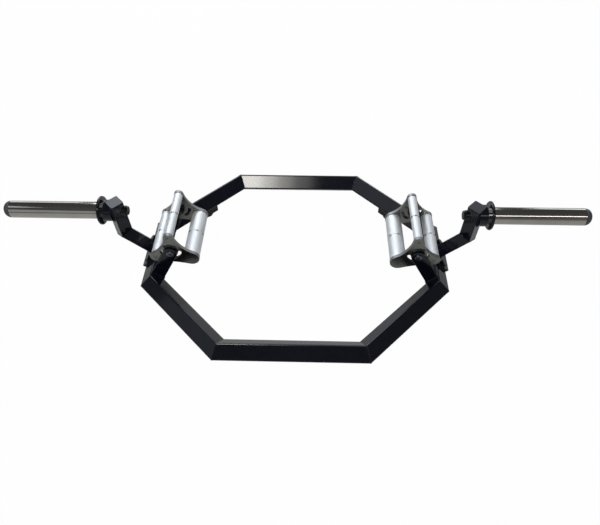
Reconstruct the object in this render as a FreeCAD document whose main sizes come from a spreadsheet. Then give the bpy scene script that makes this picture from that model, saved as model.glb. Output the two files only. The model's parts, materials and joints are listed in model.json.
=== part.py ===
import FreeCAD, Part

import math
import os
import re

import Sketcher
from FreeCAD import Placement, Rotation, Vector

# Driving dimensions in millimetres
SIZES = {
    # Octagonal ring of square tube set on edge
    "ring_half_width": 433.5,
    "ring_half_depth": 347,
    "side_margin": 16.25,
    "tube_side": 50,
    "tube_wall": 3,
    "tube_round": 4.5,
    # Feet under the diagonal tubes
    "saddle_length": 70,
    "saddle_width": 36,
    "saddle_floor": 6,
    "saddle_round": 4,
    "foot_diameter": 36,
    "foot_height": 8,
    "foot_bevel": 1.2,
    "foot_recess": 4.5,
    "foot_screw_thread": 6,
    "foot_screw_head": 11,
    "foot_screw_head_height": 3.5,
    "foot_screw_socket": 4,
    "foot_screw_socket_depth": 2,
    # Arms that carry the sleeves
    "arm_side": 38,
    "arm_wall": 4,
    "arm_round": 2.5,
    "arm_plate_length": 112,
    "arm_plate_upper": 40,
    "arm_plate_lower": 28,
    "arm_plate_thickness": 8,
    "arm_plate_round": 5,
    "arm_bolt_spacing_share": 0.768,
    "arm_bolt_thread": 12,
    "arm_bolt_across": 19,
    "arm_bolt_head_height": 7.5,
    "arm_nut_height": 10,
    "strut_offset": 12,
    "upright_reach": 86.5,
    "upright_top": 225,
    "arm_cap_thickness": 4,
    # Spindle, sleeve and end cap
    "sleeve_rise": 191.3,
    "boss_diameter": 63,
    "boss_proud": 4.4,
    "boss_lap": 18,
    "spindle_washer_diameter": 30,
    "spindle_washer_proud": 1,
    "spindle_washer_lap": 12,
    "spindle_thread": 16,
    "spindle_shank": 18,
    "spindle_journal": 30,
    "spindle_recess": 34,
    "spindle_nut_across": 24,
    "spindle_nut_height": 6,
    "thrust_washer_diameter": 46,
    "thrust_washer_thickness": 2.5,
    "sleeve_diameter": 50,
    "sleeve_loading": 263,
    "sleeve_bevel": 1,
    "flange_setback": 5.25,
    "flange_seat_step": 1.5,
    "flange_diameter": 84,
    "flange_thickness": 8,
    "flange_round": 3.5,
    "sleeve_bush_wall": 3.5,
    "sleeve_bush_length": 30,
    "sleeve_bush_inset": 2,
    "retaining_washer_thickness": 4,
    "retaining_washer_gap": 1,
    "retaining_screw_thread": 10,
    "retaining_screw_head": 16,
    "retaining_screw_head_height": 10,
    "retaining_screw_length": 30,
    "retaining_screw_socket": 8,
    "retaining_screw_socket_depth": 5,
    "end_cap_length": 20,
    "end_cap_step": 0.5,
    "end_cap_round_share": 0.88,
    "end_cap_wall": 4,
    "end_cap_spigot": 12,
    # Lugs and pivots of the handles
    "pivot_inset": 74,
    "pivot_rise": 118,
    "lug_thickness": 6,
    "lug_top_radius": 20,
    "lug_base": 42,
    "lug_base_offset": 0.5,
    "lug_bevel": 0.8,
    "pivot_thread": 12,
    "pivot_head": 22,
    "pivot_head_height": 3,
    "pivot_head_round": 1.8,
    "pivot_socket": 8,
    "pivot_socket_depth": 2.4,
    "pivot_washer_diameter": 28,
    "pivot_washer_thickness": 1.5,
    "pivot_bush_wall": 2.5,
    "pivot_bush_flange": 25,
    "pivot_bush_flange_thickness": 2,
    "pivot_nut_across": 19,
    "pivot_nut_height": 11,
    # Handle cages
    "left_handle_lean_share": 0.0078,
    "right_handle_lean_share": 0.0203,
    "grip_length": 168,
    "thin_grip": 26,
    "medium_grip": 34,
    "fat_grip": 48,
    "grip_bevel": 1,
    "grip_ring_width": 4,
    "grip_ring_depth": 0.9,
    "lobe_margin": 1,
    "thin_lobe_rise": 57.5,
    "fat_lobe_in": 56.3,
    "fat_lobe_drop": 26,
    "medium_lobe_out": 45.9,
    "medium_lobe_drop": 26.8,
    "plate_thickness": 10,
    "plate_waist": 88,
    "plate_base_waist": 300,
    "plate_bevel": 0.8,
    "slot_circle": 26.5,
    "slot_width": 10.5,
    "slot_sweep_share": 0.55,
    "grip_screw_thread": 8,
    "grip_screw_head": 13,
    "grip_screw_head_height": 5,
    "grip_screw_length": 32,
    "grip_screw_socket": 5,
    "grip_screw_socket_depth": 3,
    "grip_screw_sink": 0.4,
    # Clearances, thread tails and hexagon bevels
    "running_clearance": 0.06,
    "seat_clearance": 0.03,
    "hole_clearance": 0.3,
    "end_play": 0.25,
    "thread_tail": 3,
    "cut_overrun": 2,
    "bevel_reach_share": 0.65,
    "bevel_drop_share": 0.09,
}

# Formulas that several pieces share
RING_EDGE = "tube_side / sqrt(2)"
RING_HEIGHT = f"(foot_height + saddle_floor + {RING_EDGE})"
MITRE = "(sqrt(2) - 1)"
ARM_EDGE = "arm_side / sqrt(2)"
ARM_FOOT = "(tube_side / 2 + arm_plate_thickness)"
ARM_BOLT_Y = "(arm_plate_length * arm_bolt_spacing_share / 2)"
UPRIGHT_X = "(ring_half_width + upright_reach)"
UPRIGHT_BOTTOM = "(upright_reach + strut_offset * sqrt(2))"
UPRIGHT_TUBE_TOP = "(upright_top - arm_cap_thickness)"
SLEEVE_HEIGHT = f"({RING_HEIGHT} + sleeve_rise)"
BOSS_FACE = f"({ARM_EDGE} + boss_proud)"
SLEEVE_START = f"({BOSS_FACE} + thrust_washer_thickness + end_play)"
SLEEVE_LENGTH = "(flange_setback + flange_thickness + sleeve_loading)"
SLEEVE_END = f"({SLEEVE_START} + {SLEEVE_LENGTH})"
JOURNAL_END = f"({SLEEVE_END} - spindle_recess)"
SLEEVE_BORE = "(spindle_journal + 2 * sleeve_bush_wall)"
PIVOT_X = "(ring_half_width - pivot_inset)"
PIVOT_HEIGHT = f"({RING_HEIGHT} + pivot_rise)"
PLATE_INNER = "grip_length / 2"
PLATE_OUTER = f"({PLATE_INNER} + plate_thickness)"
LUG_INNER = f"({PLATE_OUTER} + end_play + pivot_washer_thickness)"
LUG_OUTER = f"({LUG_INNER} + lug_thickness)"
SIDE_HALF = f"({LUG_OUTER} + side_margin)"
CORNER_CUT = f"(ring_half_depth - {SIDE_HALF})"
PIVOT_NUT_FACE = f"({PLATE_INNER} - pivot_bush_flange_thickness - end_play)"
PIVOT_BUSH = "(pivot_thread + 2 * pivot_bush_wall)"
SLOT_HALF_SWEEP = "(60 deg * slot_sweep_share)"

SIDES = {"left": -1, "right": 1}
ENDS = {"front": -1, "rear": 1}

# Lobes of a handle plate, counterclockwise from the top one on the right handle
LOBES = {
    "thin_grip": ("0", "thin_lobe_rise"),
    "fat_grip": ("-fat_lobe_in", "-fat_lobe_drop"),
    "medium_grip": ("medium_lobe_out", "-medium_lobe_drop"),
}

# Hollow edges of a handle plate, each after the lobe of the same place in the list above
WAISTS = ("plate_waist", "plate_base_waist", "plate_waist")

# Corners of a hexagon as shares of its width across flats
HEXAGON_SHARES = (
    ("1 / sqrt(3)", "0"),
    ("0.5 / sqrt(3)", "0.5"),
    ("-0.5 / sqrt(3)", "0.5"),
    ("-1 / sqrt(3)", "0"),
    ("-0.5 / sqrt(3)", "-0.5"),
    ("0.5 / sqrt(3)", "-0.5"),
)

X_AXIS = Vector(1, 0, 0)
Y_AXIS = Vector(0, 1, 0)
Z_AXIS = Vector(0, 0, 1)

doc = FreeCAD.newDocument("TrapBar")
sheet = doc.addObject("Spreadsheet::Sheet", "Sizes")
for row, (alias, size) in enumerate(SIZES.items(), 1):
    sheet.set(f"A{row}", alias)
    sheet.set(f"B{row}", str(size))
    sheet.setAlias(f"B{row}", alias)
doc.recompute()

nodes = {}


def sized(formula):
    """A formula with its size names pointed at the sheet."""
    return re.sub(r"[a-z_]+", lambda word: f"Sizes.{word[0]}" if word[0] in SIZES else word[0], formula)


def value(formula):
    """The present number of a formula."""
    return float(sheet.evalExpression(sized(formula)))


def place(item, x, y, z, turn=Rotation(), side=1):
    """Set an item at a spot of the right half, or turned half round the middle for the left half."""
    half_turn = Rotation(Z_AXIS, 0 if side > 0 else 180)
    item.Placement = Placement(Vector(), half_turn * turn)
    item.setExpression("Placement.Base.x", sized(f"{side} * ({x})"))
    item.setExpression("Placement.Base.y", sized(f"{side} * ({y})"))
    item.setExpression("Placement.Base.z", sized(z))


def new_body(label):
    """An empty body that carries one piece."""
    return doc.addObject("PartDesign::Body", label)


def sketch_on(body, role, turn=None, lift=None):
    """A sketch on one of the body's own planes, turned in place or lifted off it where asked."""
    sketch = body.newObject("Sketcher::SketchObject", "Sketch")
    plane = next(item for item in body.Origin.OriginFeatures if item.Role == role)
    sketch.AttachmentSupport = (plane, [""])
    sketch.MapMode = "FlatFace"
    if turn:
        sketch.AttachmentOffset = Placement(Vector(), turn)
    if lift:
        sketch.setExpression("AttachmentOffset.Base.z", sized(lift))
    return sketch


def hold(sketch, kind, formula, *where):
    """A dimension of a sketch, bound to the sheet."""
    index = sketch.addConstraint(Sketcher.Constraint(kind, *where, value(formula)))
    sketch.renameConstraint(index, f"held_{index}")
    sketch.setExpression(f"Constraints.held_{index}", sized(formula))


def join(sketch, kind, *where):
    """A geometric constraint of a sketch."""
    sketch.addConstraint(Sketcher.Constraint(kind, *where))


def outline(sketch, corners):
    """A closed outline of straight lines through corners given as formulas."""
    first = sketch.GeometryCount
    spots = [Vector(value(x), value(y), 0) for x, y in corners]
    for start, end in zip(spots, spots[1:] + spots[:1]):
        sketch.addGeometry(Part.LineSegment(start, end))
    for step, (x, y) in enumerate(corners):
        before = first + (step - 1) % len(corners)
        join(sketch, "Coincident", before, 2, first + step, 1)
        hold(sketch, "DistanceX", x, -1, 1, first + step, 1)
        hold(sketch, "DistanceY", y, -1, 1, first + step, 1)


def diamond(edge):
    """Corners of a square set on edge."""
    return [(edge, "0"), ("0", edge), (f"-{edge}", "0"), ("0", f"-{edge}")]


def disc(sketch, diameter, x="0", y="0"):
    """A circle."""
    spot = Vector(value(x), value(y), 0)
    circle = sketch.addGeometry(Part.Circle(spot, Z_AXIS, value(diameter) / 2))
    hold(sketch, "DistanceX", x, -1, 1, circle, 3)
    hold(sketch, "DistanceY", y, -1, 1, circle, 3)
    hold(sketch, "Diameter", diameter, circle)


def hexagon(sketch, across):
    """A hexagon of a given width across flats."""
    outline(sketch, [(f"{across} * {x}", f"{across} * {y}") for x, y in HEXAGON_SHARES])


def pad(body, sketch, length, both_ways=False):
    """Material pushed out of a sketch, to one side or half to each."""
    feature = body.newObject("PartDesign::Pad", "Pad")
    feature.Profile = sketch
    feature.SideType = "Symmetric" if both_ways else "One side"
    feature.setExpression("Length", sized(length))
    return feature


def cut_through(body, sketch):
    """A cut right through the body, to both sides of a sketch."""
    feature = body.newObject("PartDesign::Pocket", "Cut")
    feature.Profile = sketch
    feature.SideType = "Symmetric"
    feature.Type = "ThroughAll"
    return feature


def cut_in(body, sketch, depth, backwards=False):
    """A blind cut down from a sketch."""
    feature = body.newObject("PartDesign::Pocket", "Recess")
    feature.Profile = sketch
    feature.Reversed = backwards
    feature.setExpression("Length", sized(depth))
    return feature


def turned(body, corners, kind="PartDesign::Revolution"):
    """A profile of radius and height turned about the body's upright axis."""
    sketch = sketch_on(body, "XZ_Plane")
    outline(sketch, corners)
    feature = body.newObject(kind, "Turned")
    feature.Profile = sketch
    feature.ReferenceAxis = (sketch, ["V_Axis"])
    feature.Angle = 360
    return feature


def soften(body, base, size, chosen, kind="PartDesign::Fillet"):
    """Round or bevel the chosen edges of the last feature."""
    doc.recompute()
    names = [f"Edge{number}" for number, edge in enumerate(base.Shape.Edges, 1) if chosen(edge)]
    feature = body.newObject(kind, "Softened")
    feature.Base = (base, names)
    feature.setExpression("Radius" if kind.endswith("Fillet") else "Size", sized(size))
    return feature


def runs_along(edge, axis):
    """Whether an edge is a straight line along an axis."""
    return isinstance(edge.Curve, Part.Line) and abs(edge.Curve.Direction.dot(axis)) > math.cos(math.pi / 180)


def is_ring(edge, diameter):
    """Whether an edge is a circle of a given diameter."""
    return isinstance(edge.Curve, Part.Circle) and math.isclose(2 * edge.Curve.Radius, value(diameter))


def finish(label, body, *spot):
    """Put a finished piece in its place and on the list of nodes."""
    place(body, *spot)
    nodes[label] = body


def group(label, piece, spots):
    """One node of several copies of a piece."""
    copies = []
    for spot in spots:
        copy = doc.addObject("App::Link", f"{label}_copy")
        copy.LinkedObject = piece
        place(copy, *spot)
        copies.append(copy)
    whole = doc.addObject("Part::Compound", label)
    whole.Links = copies
    nodes[label] = whole


def square_tube(label, side, wall, rounding, length, start_lean="0", end_lean="0"):
    """A square tube on edge along X about its middle, its ends leaning with Y."""
    edge = f"{side} / sqrt(2)"
    bore_edge = f"({side} - 2 * {wall}) / sqrt(2)"
    reach = f"({edge} + cut_overrun)"
    body = new_body(label)
    section = sketch_on(body, "YZ_Plane")
    outline(section, diamond(edge))
    outline(section, diamond(bore_edge))
    bar = pad(body, section, f"{length} + 4 * {reach}", both_ways=True)
    outside = value(bore_edge) + value(wall) / 2
    soften(body, bar, rounding, lambda line: runs_along(line, X_AXIS)
           and math.hypot(line.CenterOfMass.y, line.CenterOfMass.z) > outside)
    ends = sketch_on(body, "XY_Plane")
    for sign, lean in ((-1, start_lean), (1, end_lean)):
        end = f"{sign} * ({length}) / 2"
        far = f"{sign} * (({length}) / 2 + 3 * {reach})"
        outline(ends, [
            (f"{end} + {lean} * {reach}", reach),
            (f"{end} - {lean} * {reach}", f"-{reach}"),
            (far, f"-{reach}"),
            (far, reach),
        ])
    cut_through(body, ends)
    return body


def hex_bolt(label, across, head, thread, length):
    """A bolt with a bevelled hexagon head above the origin and its shank below."""
    body = new_body(label)
    head_sketch = sketch_on(body, "XY_Plane")
    hexagon(head_sketch, across)
    pad(body, head_sketch, head)
    bevel_hexagon(body, across, head)
    radius = f"{thread} / 2"
    turned(body, [("0", "0"), ("0", f"-({length})"), (radius, f"-({length})"), (radius, "0")])
    return body


def hex_nut(label, across, height, thread):
    """A bevelled hexagon nut that stands on the origin."""
    body = new_body(label)
    block = sketch_on(body, "XY_Plane")
    hexagon(block, across)
    pad(body, block, height)
    bevel_hexagon(body, across, height)
    bore = sketch_on(body, "XY_Plane")
    disc(bore, f"{thread} + 2 * seat_clearance")
    cut_through(body, bore)
    return body


def bevel_hexagon(body, across, top):
    """The turned bevel on the top corners of a hexagon."""
    turned(body, [
        (f"{across} / 2", top),
        (f"{across} * bevel_reach_share", f"{top} - {across} * bevel_drop_share"),
        (f"{across} * bevel_reach_share", top),
    ], "PartDesign::Groove")


def socket_screw(label, head, head_height, thread, length, socket, socket_depth):
    """A round-headed socket screw with its head above the origin and its shank below."""
    body = new_body(label)
    turned(body, [
        ("0", f"-({length})"),
        (f"{thread} / 2", f"-({length})"),
        (f"{thread} / 2", "0"),
        (f"{head} / 2", "0"),
        (f"{head} / 2", head_height),
        ("0", head_height),
    ])
    recess = sketch_on(body, "XY_Plane", lift=head_height)
    hexagon(recess, socket)
    cut_in(body, recess, socket_depth)
    return body


def ring(label, bore, diameter, thickness):
    """A plain washer or bush that stands on the origin."""
    body = new_body(label)
    turned(body, [
        (f"{bore} / 2", "0"),
        (f"{diameter} / 2", "0"),
        (f"{diameter} / 2", thickness),
        (f"{bore} / 2", thickness),
    ])
    return body


def notched_boss(label, diameter, lap, proud):
    """A round boss along Z, notched to sit astride the corner of an upright whose axis runs along X."""
    body = new_body(label)
    block = sketch_on(body, "XY_Plane", lift=f"{ARM_EDGE} - {lap}")
    disc(block, diameter)
    pad(body, block, f"{lap} + {proud}")
    notch = sketch_on(body, "YZ_Plane")
    outline(notch, [
        (f"-({ARM_EDGE} + cut_overrun)", "-cut_overrun"),
        (f"{ARM_EDGE} + cut_overrun", "-cut_overrun"),
        ("0", ARM_EDGE),
    ])
    cut_through(body, notch)
    bore = sketch_on(body, "XY_Plane")
    disc(bore, "spindle_shank + 2 * hole_clearance")
    cut_through(body, bore)
    return body


def make_ring():
    """Eight mitred tubes of the ring, the two side ones drilled for the arm bolts."""
    wide = f"2 * (ring_half_width - {CORNER_CUT})"
    deep = f"2 * {SIDE_HALF}"
    slant = f"{CORNER_CUT} * sqrt(2)"
    slant_x = f"ring_half_width - {CORNER_CUT} / 2"
    slant_y = f"ring_half_depth - {CORNER_CUT} / 2"
    tubes = {
        "right_side_tube": (0, deep, "ring_half_width", "0"),
        "rear_right_diagonal_tube": (45, slant, slant_x, slant_y),
        "rear_tube": (90, wide, "0", "ring_half_depth"),
        "rear_left_diagonal_tube": (135, slant, f"-({slant_x})", slant_y),
        "left_side_tube": (180, deep, "-ring_half_width", "0"),
        "front_left_diagonal_tube": (225, slant, f"-({slant_x})", f"-({slant_y})"),
        "front_tube": (270, wide, "0", "-ring_half_depth"),
        "front_right_diagonal_tube": (315, slant, slant_x, f"-({slant_y})"),
    }
    for label, (outward, length, x, y) in tubes.items():
        body = square_tube(label, "tube_side", "tube_wall", "tube_round", length, f"-{MITRE}", MITRE)
        if "side" in label:
            holes = sketch_on(body, "XY_Plane", turn=Rotation(X_AXIS, -45))
            for sign in (-1, 1):
                disc(holes, "arm_bolt_thread + 2 * hole_clearance", f"{sign} * {ARM_BOLT_Y}")
            cut_through(body, holes)
        finish(label, body, x, y, RING_HEIGHT, Rotation(Z_AXIS, outward - 90))


def make_feet():
    """Saddles under the diagonal tubes, and the rubber feet screwed to them."""
    slant_x = f"(ring_half_width - {CORNER_CUT} / 2)"
    slant_y = f"(ring_half_depth - {CORNER_CUT} / 2)"
    floor = f"-({RING_EDGE} + saddle_floor)"
    shoulder = f"saddle_width / 2 - {RING_EDGE}"

    saddle = new_body("foot_saddle")
    section = sketch_on(saddle, "YZ_Plane")
    outline(section, [
        ("-saddle_width / 2", floor),
        ("saddle_width / 2", floor),
        ("saddle_width / 2", shoulder),
        ("0", f"-{RING_EDGE}"),
        ("-saddle_width / 2", shoulder),
    ])
    block = pad(saddle, section, "saddle_length", both_ways=True)
    soften(saddle, block, "saddle_round", lambda line: runs_along(line, Z_AXIS))
    tapping = sketch_on(saddle, "XY_Plane")
    disc(tapping, "foot_screw_thread + 2 * seat_clearance")
    cut_through(saddle, tapping)

    hole = "(foot_screw_thread / 2 + hole_clearance)"
    recess = "(foot_screw_head / 2 + hole_clearance)"
    foot = new_body("rubber_foot")
    turned(foot, [
        (recess, "0"),
        ("foot_diameter / 2 - foot_bevel", "0"),
        ("foot_diameter / 2", "foot_bevel"),
        ("foot_diameter / 2", "foot_height"),
        (hole, "foot_height"),
        (hole, "foot_recess"),
        (recess, "foot_recess"),
    ])

    screw = socket_screw(
        "foot_screw", "foot_screw_head", "foot_screw_head_height", "foot_screw_thread",
        "foot_height - foot_recess + saddle_floor - end_play", "foot_screw_socket", "foot_screw_socket_depth")

    head_down = Rotation(X_AXIS, 180)
    corners = [(f"{across} * {slant_x}", f"{along} * {slant_y}", across * along)
               for across in (-1, 1) for along in (-1, 1)]
    group("foot_saddles", saddle,
          [(x, y, RING_HEIGHT, Rotation(Z_AXIS, -45 * lean)) for x, y, lean in corners])
    group("rubber_feet", foot, [(x, y, "0") for x, y, lean in corners])
    group("foot_screws", screw, [(x, y, "foot_recess", head_down) for x, y, lean in corners])


def make_arm(name, side):
    """Base plate, slanting strut, upright and top cap of one arm."""
    slope = Rotation(Y_AXIS, 45)
    plate = new_body(f"{name}_arm_base_plate")
    slab = sketch_on(plate, "XY_Plane")
    half_length = "arm_plate_length / 2"
    outline(slab, [
        ("-arm_plate_upper", f"-{half_length}"),
        ("arm_plate_lower", f"-{half_length}"),
        ("arm_plate_lower", half_length),
        ("-arm_plate_upper", half_length),
    ])
    sheet_metal = pad(plate, slab, "arm_plate_thickness")
    soften(plate, sheet_metal, "arm_plate_round", lambda line: runs_along(line, Z_AXIS))
    holes = sketch_on(plate, "XY_Plane")
    for sign in (-1, 1):
        disc(holes, "arm_bolt_thread + 2 * hole_clearance", "0", f"{sign} * {ARM_BOLT_Y}")
    cut_through(plate, holes)
    face = "tube_side / 2 / sqrt(2)"
    finish(plate.Label, plate, f"ring_half_width + {face}", "0", f"{RING_HEIGHT} + {face}", slope, side)

    bend = "(upright_reach * sqrt(2) + strut_offset)"
    strut = square_tube(f"{name}_arm_strut", "arm_side", "arm_wall", "arm_round",
                        f"({bend} - {ARM_FOOT})", "0", f"-{MITRE}")
    middle = f"({bend} + {ARM_FOOT}) / 2"
    lying = Rotation(X_AXIS, 90)
    finish(strut.Label, strut, f"ring_half_width + ({middle} - strut_offset) / sqrt(2)", "0",
           f"{RING_HEIGHT} + ({middle} + strut_offset) / sqrt(2)", Rotation(Y_AXIS, -45) * lying, side)

    upright = square_tube(f"{name}_arm_upright", "arm_side", "arm_wall", "arm_round",
                          f"({UPRIGHT_TUBE_TOP} - {UPRIGHT_BOTTOM})", MITRE, "0")
    middle = f"({UPRIGHT_TUBE_TOP} + {UPRIGHT_BOTTOM}) / 2"
    hole = sketch_on(upright, "XZ_Plane")
    disc(hole, "spindle_shank + 2 * hole_clearance", f"sleeve_rise - {middle}")
    cut_through(upright, hole)
    finish(upright.Label, upright, UPRIGHT_X, "0", f"{RING_HEIGHT} + {middle}",
           Rotation(Y_AXIS, -90) * lying, side)

    cap = new_body(f"{name}_arm_top_cap")
    lid = sketch_on(cap, "XY_Plane")
    outline(lid, diamond(ARM_EDGE))
    closing = pad(cap, lid, "arm_cap_thickness")
    soften(cap, closing, "arm_round", lambda line: runs_along(line, Z_AXIS))
    finish(cap.Label, cap, UPRIGHT_X, "0", f"{RING_HEIGHT} + {UPRIGHT_TUBE_TOP}", Rotation(), side)


def make_arm_fasteners():
    """Bolts through the base plates and side tubes, with their nuts."""
    slope = Rotation(Y_AXIS, 45)
    bolt = hex_bolt("arm_bolt", "arm_bolt_across", "arm_bolt_head_height", "arm_bolt_thread",
                    f"{ARM_FOOT} + tube_side / 2 + arm_nut_height + thread_tail")
    nut = hex_nut("arm_nut", "arm_bolt_across", "arm_nut_height", "arm_bolt_thread")
    bolts = []
    nuts = []
    for side in SIDES.values():
        for sign in (-1, 1):
            y = f"{sign} * {ARM_BOLT_Y}"
            top = f"{ARM_FOOT} / sqrt(2)"
            under = "tube_side / 2 / sqrt(2)"
            bolts.append((f"ring_half_width + {top}", y, f"{RING_HEIGHT} + {top}", slope, side))
            nuts.append((f"ring_half_width - {under}", y, f"{RING_HEIGHT} - {under}",
                         slope * Rotation(X_AXIS, 180), side))
    group("arm_bolts", bolt, bolts)
    group("arm_nuts", nut, nuts)


def make_sleeve(name, side):
    """Boss and spindle on an upright, and the sleeve that spins on it."""
    outward = Rotation(Y_AXIS, 90)

    def on_axis(label, body, distance="0"):
        finish(label, body, f"{UPRIGHT_X} + {distance}", "0", SLEEVE_HEIGHT, outward, side)

    on_axis(f"{name}_spindle_boss",
            notched_boss(f"{name}_spindle_boss", "boss_diameter", "boss_lap", "boss_proud"))

    thread_end = f"-({ARM_EDGE} + spindle_washer_proud + spindle_nut_height)"
    tapped = "(retaining_screw_thread / 2 + seat_clearance)"
    bottom = f"({JOURNAL_END} - retaining_screw_length)"
    spindle = new_body(f"{name}_spindle")
    turned(spindle, [
        ("0", thread_end),
        ("spindle_thread / 2", thread_end),
        ("spindle_thread / 2", f"-{ARM_EDGE}"),
        ("spindle_shank / 2", f"-{ARM_EDGE}"),
        ("spindle_shank / 2", BOSS_FACE),
        ("spindle_journal / 2", BOSS_FACE),
        ("spindle_journal / 2", JOURNAL_END),
        (tapped, JOURNAL_END),
        (tapped, bottom),
        ("0", bottom),
    ])
    on_axis(spindle.Label, spindle)

    seat = "(sleeve_diameter / 2 - flange_seat_step)"
    shoulder = "(flange_setback + flange_thickness)"
    tube = new_body(f"{name}_sleeve")
    stepped = turned(tube, [
        (f"{SLEEVE_BORE} / 2", "0"),
        (seat, "0"),
        (seat, shoulder),
        ("sleeve_diameter / 2", shoulder),
        ("sleeve_diameter / 2", SLEEVE_LENGTH),
        (f"{SLEEVE_BORE} / 2", SLEEVE_LENGTH),
    ])
    soften(tube, stepped, "sleeve_bevel", lambda edge: is_ring(edge, "sleeve_diameter")
           and edge.CenterOfMass.z > value(f"{SLEEVE_LENGTH} / 2"), "PartDesign::Chamfer")
    on_axis(tube.Label, tube, SLEEVE_START)

    flange = ring(f"{name}_sleeve_flange", f"(2 * ({seat} + seat_clearance))",
                  "flange_diameter", "flange_thickness")
    soften(flange, flange.Tip, "flange_round", lambda edge: is_ring(edge, "flange_diameter"))
    on_axis(flange.Label, flange, f"{SLEEVE_START} + flange_setback")

    bush = ring(f"{name}_sleeve_bush", "(spindle_journal + 2 * running_clearance)",
                f"({SLEEVE_BORE} - 2 * seat_clearance)", "sleeve_bush_length")
    spots = (f"{SLEEVE_START} + sleeve_bush_inset", f"{JOURNAL_END} - end_play - sleeve_bush_length")
    group(f"{name}_sleeve_bushes", bush,
          [(f"{UPRIGHT_X} + {spot}", "0", SLEEVE_HEIGHT, outward, side) for spot in spots])

    spigot = f"({SLEEVE_BORE} / 2 - seat_clearance)"
    hollow = f"({spigot} - end_cap_wall)"
    outside = "(sleeve_diameter / 2 - end_cap_step)"
    cap = new_body(f"{name}_sleeve_end_cap")
    dome = turned(cap, [
        (hollow, "-end_cap_spigot"),
        (spigot, "-end_cap_spigot"),
        (spigot, "0"),
        (outside, "0"),
        (outside, "end_cap_length"),
        ("0", "end_cap_length"),
        ("0", "end_cap_length - 2 * end_cap_wall"),
        (hollow, "end_cap_length - 2 * end_cap_wall"),
    ])
    soften(cap, dome, "end_cap_length * end_cap_round_share", lambda edge: is_ring(edge, f"2 * {outside}")
           and edge.CenterOfMass.z > value("end_cap_length / 2"))
    on_axis(cap.Label, cap, SLEEVE_END)


def make_sleeve_fasteners():
    """Washers, nuts and screws that hold the spindles and keep the sleeves on them."""
    outward = Rotation(Y_AXIS, 90)
    inward = Rotation(Y_AXIS, -90)

    def both_sides(label, body, distance, turn=outward):
        spot = (f"{UPRIGHT_X} + {distance}", "0", SLEEVE_HEIGHT, turn)
        group(label, body, [(*spot, side) for side in SIDES.values()])

    both_sides("spindle_washers",
               notched_boss("spindle_washer", "spindle_washer_diameter", "spindle_washer_lap",
                            "spindle_washer_proud"), "0", inward)
    both_sides("spindle_nuts",
               hex_nut("spindle_nut", "spindle_nut_across", "spindle_nut_height", "spindle_thread"),
               f"-({ARM_EDGE} + spindle_washer_proud)", inward)
    both_sides("thrust_washers", ring("thrust_washer", "(spindle_journal + 2 * hole_clearance)",
                                      "thrust_washer_diameter", "thrust_washer_thickness"), BOSS_FACE)
    both_sides("retaining_washers", ring("retaining_washer", "(retaining_screw_thread + 2 * hole_clearance)",
                                         f"({SLEEVE_BORE} - 2 * retaining_washer_gap)",
                                         "retaining_washer_thickness"), JOURNAL_END)
    both_sides("retaining_screws", socket_screw(
        "retaining_screw", "retaining_screw_head", "retaining_screw_head_height", "retaining_screw_thread",
        "retaining_screw_length + retaining_washer_thickness - thread_tail",
        "retaining_screw_socket", "retaining_screw_socket_depth"),
        f"{JOURNAL_END} + retaining_washer_thickness")


def make_lug(label):
    """A rounded lug about its pivot, its foot cut to the upper inner face of a right-hand side tube."""
    body = new_body(label)
    face_x = "(pivot_inset - tube_side / 2 / sqrt(2))"
    face_y = "(tube_side / 2 / sqrt(2) - pivot_rise)"
    foot = []
    for shift in ("(lug_base_offset + lug_base / 2) / sqrt(2)", "(lug_base_offset - lug_base / 2) / sqrt(2)"):
        foot.append((f"{face_x} - {shift}", f"{face_y} - {shift}"))
    low, high = [Vector(value(x), value(y), 0) for x, y in foot]
    radius = value("lug_top_radius")
    first_angle = math.atan2(high.y, high.x) + math.acos(radius / high.Length)
    last_angle = math.atan2(low.y, low.x) - math.acos(radius / low.Length) + 2 * math.pi
    first_touch = Vector(radius * math.cos(first_angle), radius * math.sin(first_angle), 0)
    last_touch = Vector(radius * math.cos(last_angle), radius * math.sin(last_angle), 0)

    shape = sketch_on(body, "XZ_Plane")
    base = shape.addGeometry(Part.LineSegment(low, high))
    near = shape.addGeometry(Part.LineSegment(high, first_touch))
    top = shape.addGeometry(Part.ArcOfCircle(Part.Circle(Vector(), Z_AXIS, radius), first_angle, last_angle))
    far = shape.addGeometry(Part.LineSegment(last_touch, low))
    join(shape, "Coincident", top, 3, -1, 1)
    join(shape, "Coincident", base, 2, near, 1)
    join(shape, "Coincident", far, 2, base, 1)
    join(shape, "Tangent", near, 2, top, 1)
    join(shape, "Tangent", top, 2, far, 1)
    hold(shape, "Radius", "lug_top_radius", top)
    for spot, (x, y) in enumerate(foot, 1):
        hold(shape, "DistanceX", x, -1, 1, base, spot)
        hold(shape, "DistanceY", y, -1, 1, base, spot)
    pad(body, shape, "lug_thickness", both_ways=True)
    hole = sketch_on(body, "XZ_Plane")
    disc(hole, "pivot_thread + 2 * seat_clearance")
    drilled = cut_through(body, hole)
    soften(body, drilled, "lug_bevel", lambda edge: is_ring(edge, "2 * lug_top_radius"),
           "PartDesign::Chamfer")
    return body


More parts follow.
